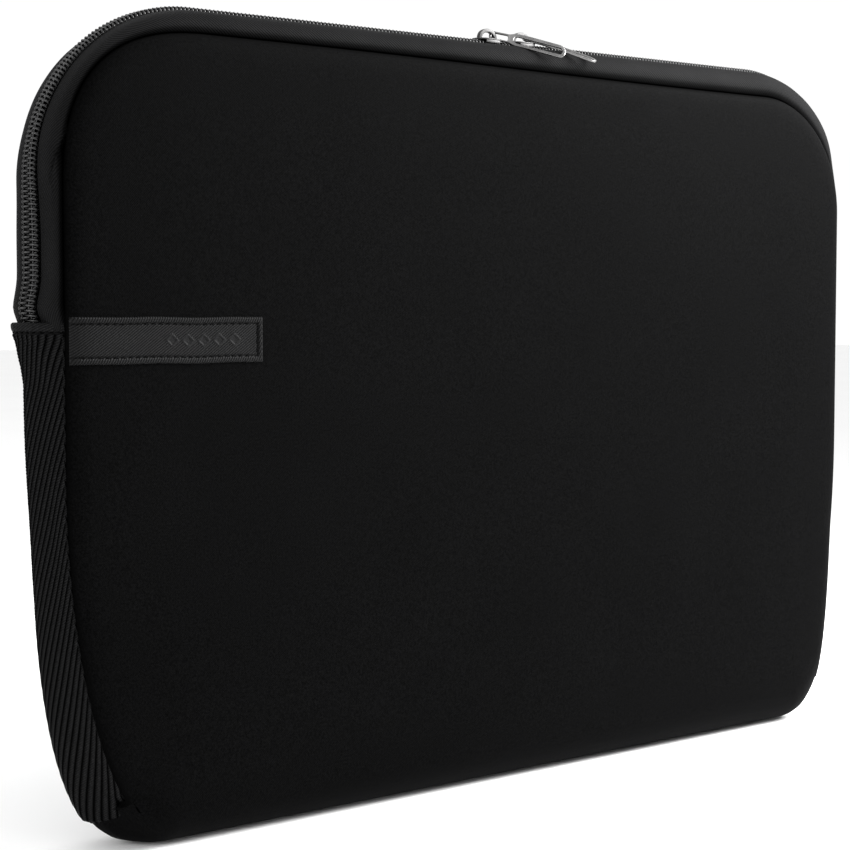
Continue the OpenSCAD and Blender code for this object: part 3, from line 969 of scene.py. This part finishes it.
def add_label():
    """A flat band of ribbed tape with folded borders, that follows the panel's face."""
    ns, nt = 250, 53
    s1 = np.linspace(0, LABEL_L, ns)
    t1 = np.linspace(0, LABEL_H, nt)
    s, t = np.meshgrid(s1, t1, indexing="ij")
    edge = np.minimum(np.minimum(t, LABEL_H - t), LABEL_L - s)
    border = smooth((2.0 - edge) / 0.5)
    groove = np.exp(-((edge - LABEL_SEAM) / 0.28) ** 2)
    rounding = np.sqrt(np.clip(1 - (1 - np.clip(edge / 0.7, 0, 1)) ** 2, 0, 1))
    area = ornament_area(s, t)
    marks = ornament(s, t)
    h = 0.3 + 0.4 * border * rounding + marks - 0.3 * groove - 0.35 * (1 - rounding)
    # 'rise' sets how light the colour is. Its darkening down the stitch groove is painted shade.
    # The borders are a little darker and the raised diamonds lighter.
    rise = (0.85 - 0.12 * border) * (1 - 0.8 * groove) + 0.7 * marks
    depth = np.array([face_depth(LABEL_LEFT + v) for v in s1])[:, None]
    x, z = LABEL_LEFT + s, LABEL_LOW + t + label_waver(s)
    face = np.stack([x, -(depth + 0.35 + h), z], axis=-1)
    back = np.stack([x, np.broadcast_to(-(depth - 0.12), x.shape), z], axis=-1)
    points = np.vstack([face.reshape(-1, 3), back.reshape(-1, 3)])
    uv = np.tile(np.column_stack([s.ravel(), t.ravel()]), (2, 1))
    faces = []
    size = ns * nt
    for i in range(ns - 1):
        for j in range(nt - 1):
            a = i * nt + j
            faces.append((a, a + nt, a + nt + 1, a + 1))
            faces.append((size + a, size + a + 1, size + a + nt + 1, size + a + nt))
    rim = [i * nt for i in range(ns)] + [(ns - 1) * nt + j for j in range(1, nt)]
    rim += [i * nt + nt - 1 for i in range(ns - 2, -1, -1)] + list(range(nt - 2, 0, -1))
    for a, b in zip(rim, rim[1:] + rim[:1]):
        faces.append((a, a + size, b + size, b))
    values = {"rise": rise, "border": border, "blank": area}
    values = {key: np.tile(value.ravel(), 2) for key, value in values.items()}
    return add_mesh("side_label", points, faces, uv, values, 60)


label = add_label()
finish_piece(label, label_cloth, None, "label")


def add_label_stitches():
    """Stitches along the label's top, bottom and free end."""
    starts, ends = [], []
    reach = LABEL_L - LABEL_SEAM
    for t in (LABEL_SEAM, LABEL_H - LABEL_SEAM):
        for s in np.arange(3.0, reach - 2.0, LABEL_STEP):
            for group, v in ((starts, s), (ends, s + LABEL_STITCH)):
                y = -(face_depth(LABEL_LEFT + v) + 0.55)
                group.append((LABEL_LEFT + v, y, LABEL_LOW + t + label_waver(v)))
    y = -(face_depth(LABEL_LEFT + reach) + 0.55)
    for t in np.arange(3.0, LABEL_H - 4.0, LABEL_STEP):
        starts.append((LABEL_LEFT + reach, y, LABEL_LOW + t))
        ends.append((LABEL_LEFT + reach, y, LABEL_LOW + t + LABEL_STITCH))
    return add_stitches("label_thread", starts, ends, 0.17, (0, -0.2, 0))


label_thread = add_label_stitches()
finish_piece(label_thread, thread, None, "label_stitch")


# ---- metal parts
def box_mm(node):
    """The two opposite corners of a CAD node's box, in millimetres."""
    low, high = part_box(node)
    return low / MM, high / MM


def bevelled(obj, width, segments):
    """The same object with its sharp edges rounded, width in millimetres."""
    work = bmesh.new()
    work.from_mesh(obj.data)
    sharp = math.radians(50)
    edges = [e for e in work.edges if len(e.link_faces) == 2 and e.calc_face_angle(0) > sharp]
    bmesh.ops.bevel(work, geom=edges, offset=width * MM, offset_type="OFFSET",
                    segments=segments, profile=0.5, affect="EDGES", clamp_overlap=True)
    bmesh.ops.recalc_face_normals(work, faces=work.faces[:])
    work.to_mesh(obj.data)
    work.free()
    obj.data.shade_smooth()
    obj.data.set_sharp_from_angle(angle=sharp)
    return obj


def prism(outline, low, high):
    """Points and faces of an upright prism."""
    n = len(outline)
    points = [(x, y, low) for x, y in outline] + [(x, y, high) for x, y in outline]
    faces = [(i, (i + 1) % n, n + (i + 1) % n, n + i) for i in range(n)]
    faces += [tuple(reversed(range(n))), tuple(range(n, 2 * n))]
    return points, faces


def rectangle(x0, y0, x1, y1):
    return [(x0, y0), (x1, y0), (x1, y1), (x0, y1)]


def joined(name, parts, transform=None):
    """One object from several lots of points and faces."""
    points, faces = [], []
    for p, f in parts:
        base = len(points)
        points.extend(p)
        faces.extend([tuple(base + i for i in q) for q in f])
    points = np.array(points, float)
    if transform is not None:
        points = np.array([tuple(transform @ Vector(p)) for p in points])
    return add_mesh(name, points, faces, sharp=50)


def slider_outline(half_l, half_y):
    """Shield-like plan of a slider's plate, wide behind the middle and narrower in front."""
    points = []
    for a in np.linspace(0, 2 * math.pi, 48, endpoint=False):
        c, s = math.cos(a), math.sin(a)
        x = half_l * math.copysign(abs(c) ** 0.75, c)
        narrowing = 1 - 0.34 * max(0.0, (abs(x) / half_l - 0.45) / 0.55) ** 1.6
        y = half_y * math.copysign(abs(s) ** 0.5, s) * narrowing
        points.append((x, y))
    return points


def add_slider(name, node):
    """Two shield-shaped plates joined by a post, with low walls under the upper one."""
    low, high = box_mm(node)
    cx = (low.x + high.x) / 2
    half_l = (high.x - low.x) / 2
    half_y = (high.y - low.y) / 2
    top, bottom = high.z, low.z
    plan = slider_outline(half_l, half_y)
    plate = prism(plan, top - 0.62, top)
    under = prism(plan, bottom, bottom + 0.8)
    walls = []
    wall_l = half_l - 2.9
    for side in (-1, 1):
        y0, y1 = sorted((side * (half_y - 0.5), side * half_y))
        walls.append(prism(rectangle(-wall_l, y0, wall_l, y1), top - 1.75, top - 0.55))
    post = prism(rectangle(-3, -0.45, 3, 0.45), bottom + 0.7, top - 0.55)
    shift = Matrix.Translation((cx, 0, 0))
    return bevelled(joined(name, [plate, under, *walls, post], shift), 0.16, 2)


def add_crown(name, node):
    """The arched loop on a slider's back that holds the pull."""
    low, high = box_mm(node)
    cx = (low.x + high.x) / 2
    half_l = (high.x - low.x) / 2
    rise = high.z - low.z
    foot = low.z - 0.3
    outer, inner = [], []
    steps = 24
    for i in range(steps + 1):
        a = math.pi * i / steps
        c, s = math.cos(a), math.sin(a)
        lift = s ** 0.8
        outer.append((-half_l * c, foot + (rise + 0.3) * lift))
        inner.append((-(half_l - 1.35) * c, foot + (rise - 0.95) * lift))
    points, faces = prism(outer + inner[::-1], -0.8, 0.8)
    points = [(x + cx, y, z) for x, z, y in points]
    return bevelled(joined(name, [(points, faces)]), 0.17, 3)


def ring_plate(outer, holes, low, high):
    """A flat plate with holes, triangulated by filling its outline."""
    work = bmesh.new()
    edges = []
    for loop in [outer, *holes]:
        verts = [work.verts.new((x, y, low)) for x, y in loop]
        edges += [work.edges.new((verts[i], verts[(i + 1) % len(verts)]))
                  for i in range(len(verts))]
    bmesh.ops.triangle_fill(work, edges=edges, use_beauty=True, use_dissolve=False)
    made = bmesh.ops.extrude_face_region(work, geom=work.faces[:])
    moved = [v for v in made["geom"] if isinstance(v, bmesh.types.BMVert)]
    bmesh.ops.translate(work, verts=moved, vec=(0, 0, high - low))
    bmesh.ops.recalc_face_normals(work, faces=work.faces[:])
    work.verts.index_update()
    points = [tuple(v.co) for v in work.verts]
    faces = [tuple(v.index for v in f.verts) for f in work.faces]
    work.free()
    return points, faces


def half_ellipse(x, rx, ry, first, count):
    """Points half way round an ellipse that is centred on the x axis."""
    angles = [math.radians(a) for a in np.linspace(first, first + 180, count)]
    return [(x + rx * math.cos(a), ry * math.sin(a)) for a in angles]


# The pull lies along x from its hinge: its length, half its width and its thickness.
PULL_L, PULL_R, PULL_T = 28.5, 2.7, 0.9
# Half the width of its neck, and from where and how far its loop is cranked.
NECK, CRANK_X, CRANK = 1.85, 14.0, math.radians(6)


def pull_outline():
    """Narrow rounded head, shoulders, then a long loop with a round end."""
    end = half_ellipse(PULL_L - PULL_R, PULL_R, PULL_R, -90, 16)
    half = [(x, PULL_R) for x in np.linspace(PULL_L - PULL_R - 1, 9.6, 14)]
    for t in np.linspace(0, 1, 9)[1:]:
        half.append((9.6 - 3.2 * t, PULL_R - (PULL_R - NECK) * float(smooth(np.array(t)))))
    half += [(x, NECK) for x in np.linspace(5.4, 0.4, 6)]
    half += [p for p in half_ellipse(0.2, 0.75, NECK, 90, 12)[1:-1] if p[1] > 0]
    return end + half + [(x, -y) for x, y in reversed(half)]


def add_pull(name, hinge, turn):
    """A flat pull with a long loop and an eye for the crown. turn is its angles in
    degrees about x, y and z."""
    hole_r = PULL_R - 1.2
    loop = half_ellipse(PULL_L - PULL_R, hole_r, hole_r, -90, 14)
    loop += half_ellipse(10.2, hole_r, hole_r, 90, 14)
    eye = [(0.55, -1.1), (3.0, -1.15), (6.2, -1.2), (6.5, -0.7), (6.5, 0.7), (6.2, 1.2),
           (3.0, 1.15), (0.55, 1.1), (0.4, 0.6), (0.4, -0.6)]
    points, faces = ring_plate(pull_outline(), [loop, eye], -PULL_T / 2, PULL_T / 2)
    bent = []
    for x, y, z in points:
        over = max(0.0, x - CRANK_X)
        bent.append((x - over * (1 - math.cos(CRANK)) + z * math.sin(CRANK) * (over > 0),
                     y, z - over * math.sin(CRANK)))
    rotation = Matrix.Identity(4)
    for axis, angle in zip("ZYX", reversed(turn)):
        rotation = rotation @ Matrix.Rotation(math.radians(angle), 4, axis)
    place = Matrix.Translation(hinge) @ rotation
    return bevelled(joined(name, [(bent, faces)], place), 0.3, 3)


joints = {j["name"]: j for j in frame["joints"]}
for side, turn in (("left", (62, 11, -36)), ("right", (20, 13, -33))):
    short = side[0]
    body = add_slider(f"{side}_slider_body", f"slider_{side}")
    finish_piece(body, dark_nickel, f"slider_{short}", f"slider_{side}")
    crown = add_crown(f"{side}_slider_crown", f"crown_{side}")
    finish_piece(crown, dark_nickel, f"slider_{short}", f"crown_{side}")
    hinge = Vector(joints[f"{side}_pull_swing"]["pos_m"]) / MM
    pull = add_pull(f"{side}_pull", hinge, turn)
    finish_piece(pull, nickel, f"pull_{short}", f"pull_{side}")


def add_stop(name, node):
    """A small folded clip round the ends of both coils, down inside the hem."""
    low, high = box_mm(node)
    cx = (low.x + high.x) / 2
    sign = math.copysign(1, cx)
    # The right side of the zip is drawn in, and its stop with it.
    drawn = 3.8 if sign > 0 else 0.4
    x_in, x_out = cx - sign * (1.3 + drawn), cx + sign * (0.1 - drawn)
    clip = prism(rectangle(x_in, -2.9, x_out, 2.9), HEM_Z - 4.0, HEM_Z - 1.9)
    return bevelled(joined(name, [clip]), 0.25, 2)


for side in ("left", "right"):
    stop = add_stop(f"zip_stop_{side}", f"stop_{side}")
    finish_piece(stop, nickel, "sleeve", f"stop_{side}")


# ---- floor, light, camera
def add_floor():
    """A wide pale floor, a hair below the sleeve."""
    n = Nodes("pale_floor")
    where = n.place()
    level = n.spread(n.noise(where, 3, 2), 0.88, 0.9)
    material = n.set(Base_Color=n.grey(level, (1, 1, 1)), Roughness=0.9, Specular_IOR_Level=0.1)
    mesh = bpy.data.meshes.new("floor")
    reach = 6
    corners = [(x, y, 0) for x, y in rectangle(-reach, -reach, reach, reach)]
    mesh.from_pydata(corners, [], [(0, 1, 2, 3)])
    floor = bpy.data.objects.new("floor", mesh)
    bpy.context.scene.collection.objects.link(floor)
    floor.location.z = -0.0003
    mesh.materials.append(material)


def add_light(name, place, aim, size, power):
    """A rectangular area light that faces a point, its power in watts."""
    data = bpy.data.lights.new(name, "AREA")
    data.shape = "RECTANGLE"
    data.size, data.size_y = size
    data.energy = power
    lamp = bpy.data.objects.new(name, data)
    bpy.context.scene.collection.objects.link(lamp)
    lamp.location = place
    direction = Vector(aim) - Vector(place)
    lamp.rotation_mode = "QUATERNION"
    lamp.rotation_quaternion = direction.to_track_quat("-Z", "Y")


def add_world(level):
    """An even white background."""
    world = bpy.data.worlds.new("studio")
    world.use_nodes = True
    back = world.node_tree.nodes["Background"]
    back.inputs[0].default_value = (1, 1, 1, 1)
    back.inputs[1].default_value = level
    bpy.context.scene.world = world


def add_camera():
    """The photo's camera, solved from the sleeve's corners and edges."""
    data = bpy.data.cameras.new("camera")
    data.sensor_width = 36
    data.lens = 84.2
    data.clip_start = 0.01
    data.clip_end = 50
    camera = bpy.data.objects.new("camera", data)
    bpy.context.scene.collection.objects.link(camera)
    camera.location = (-0.4865, -0.5475, 0.1745)
    yaw, pitch = math.radians(39.6), math.radians(3.54)
    forward = Vector((math.cos(pitch) * math.sin(yaw), math.cos(pitch) * math.cos(yaw),
                      -math.sin(pitch)))
    camera.rotation_mode = "QUATERNION"
    camera.rotation_quaternion = forward.to_track_quat("-Z", "Y")
    bpy.context.scene.camera = camera


add_floor()
add_world(1.02)
add_light("key", (0.4, -0.28, 0.46), (0.1, 0, 0.2), (0.4, 0.4), 12.8)
add_light("top", (-0.2, 0.1, 1.5), (0, 0, 0.2), (1.6, 0.8), 5)
add_light("left_fill", (-1.5, 0.1, 0.5), (-0.19, 0, 0.14), (0.6, 1.0), 8.5)
add_camera()
bpy.context.scene.view_settings.view_transform = "Standard"
